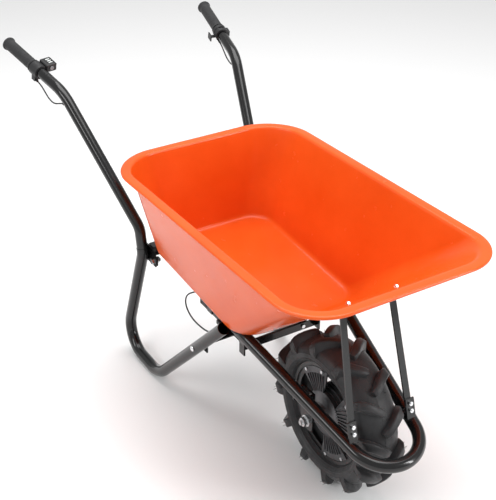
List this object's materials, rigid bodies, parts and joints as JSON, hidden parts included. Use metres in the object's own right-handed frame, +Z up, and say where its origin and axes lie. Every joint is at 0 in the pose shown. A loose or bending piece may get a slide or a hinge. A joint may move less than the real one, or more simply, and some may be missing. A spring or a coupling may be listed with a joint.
{
  "type": "powered wheelbarrow",
  "caption": "Single-wheel barrow with a flared steel tub, bent tube frame and legs, rubber grips, hub motor, battery under the tub and thumb throttle.",
  "frame": {"origin": "on the ground, at the middle of the overall length and width", "axes": "+X forwards, from the grips to the wheel; +Y to the user's left; +Z up"},
  "size_m": [1.5084, 0.6892, 0.8434],
  "materials": {
    "orange_enamel": "glossy orange enamel",
    "black_enamel": "glossy black enamel",
    "rim_enamel": "satin dark grey enamel",
    "grey_alloy": "dark grey cast and coated",
    "bearing_steel": "ground steel",
    "lamination_steel": "dull steel",
    "copper_wire": "varnished copper wire",
    "zinc_steel": "bright zinc plate",
    "grip_rubber": "matt black rubber",
    "cable_rubber": "satin black cable sheath",
    "tube_rubber": "smooth black rubber",
    "tyre_rubber": "matt dark grey-black tyre rubber",
    "black_plastic": "fine grained black plastic",
    "button_plastic": "smooth grey plastic",
    "cell_wrap": "plastic sleeve",
    "window_glass": "smoked clear plastic",
    "light_bars": "pale light guides"
  },
  "bodies": {
    "frame": {"tray": "orange_enamel", "handle_tube_right": "black_enamel", "handle_tube_left": "black_enamel", "leg_right": "black_enamel", "leg_left": "black_enamel", "rail_right": "black_enamel", "rail_left": "black_enamel", "leg_bracket_right": "black_enamel", "leg_bracket_left": "black_enamel", "dropout_right": "black_enamel", "dropout_left": "black_enamel", "strut_right": "black_enamel", "strut_left": "black_enamel", "strut_tab_right": "black_enamel", "strut_tab_left": "black_enamel", "front_loop": "black_enamel", "rear_crossbar": "black_enamel", "front_crossbar": "black_enamel", "lower_crossbar": "black_enamel", "battery_cradle": "black_enamel", "cradle_hangers": "black_enamel", "motor_controller": "grey_alloy", "axle": "bearing_steel", "motor_stator": "lamination_steel", "motor_windings": "copper_wire", "grip_right": "grip_rubber", "grip_left": "grip_rubber", "cable_grommets": "grip_rubber", "right_control_cable": "cable_rubber", "left_control_cable": "cable_rubber", "harness_cable": "cable_rubber", "harness_plug": "black_plastic", "battery_case": "black_plastic", "battery_lid": "black_plastic", "battery_cells": "cell_wrap", "display_housing": "black_plastic", "throttle_housing": "black_plastic", "display_window": "window_glass", "gauge_bars": "light_bars", "tray_bolts": "zinc_steel", "frame_bolts": "zinc_steel", "leg_bolts": "zinc_steel", "strut_bolts": "zinc_steel", "case_screws": "zinc_steel", "control_screws": "zinc_steel", "axle_washers": "zinc_steel", "axle_nuts": "zinc_steel"},
    "wheel": {"tyre": "tyre_rubber", "inner_tube": "tube_rubber", "rim": "rim_enamel", "valve_stem": "zinc_steel", "hub_cover_right": "grey_alloy", "hub_cover_left": "grey_alloy", "bearing_right": "bearing_steel", "bearing_left": "bearing_steel", "cover_bolts": "zinc_steel", "motor_shell": "grey_alloy", "rotor_magnets": "bearing_steel"},
    "throttle": {"thumb_lever": "black_plastic"},
    "button": {"power_button": "button_plastic"}
  },
  "joints": [
    {"name": "wheel_spin", "type": "hinge", "parent": "frame", "child": "wheel", "pos_m": [0.481, 0, 0.207], "axis": [0, 1, 0], "continuous": true},
    {"name": "throttle_swing", "type": "hinge", "parent": "frame", "child": "throttle", "pos_m": [-0.59639, 0.29844, 0.78859], "axis": [0.9599, -0.1682, -0.2242], "range_deg": [0, 35], "stiffness_Nm_per_rad": 0.15, "springref_deg": -20.05},
    {"name": "button_press", "type": "slide", "parent": "frame", "child": "button", "axis": [-0.9599, -0.1682, 0.2242], "range_m": [0, 0.0012], "stiffness_N_per_m": 800, "springref_m": -0.0006}
  ]
}
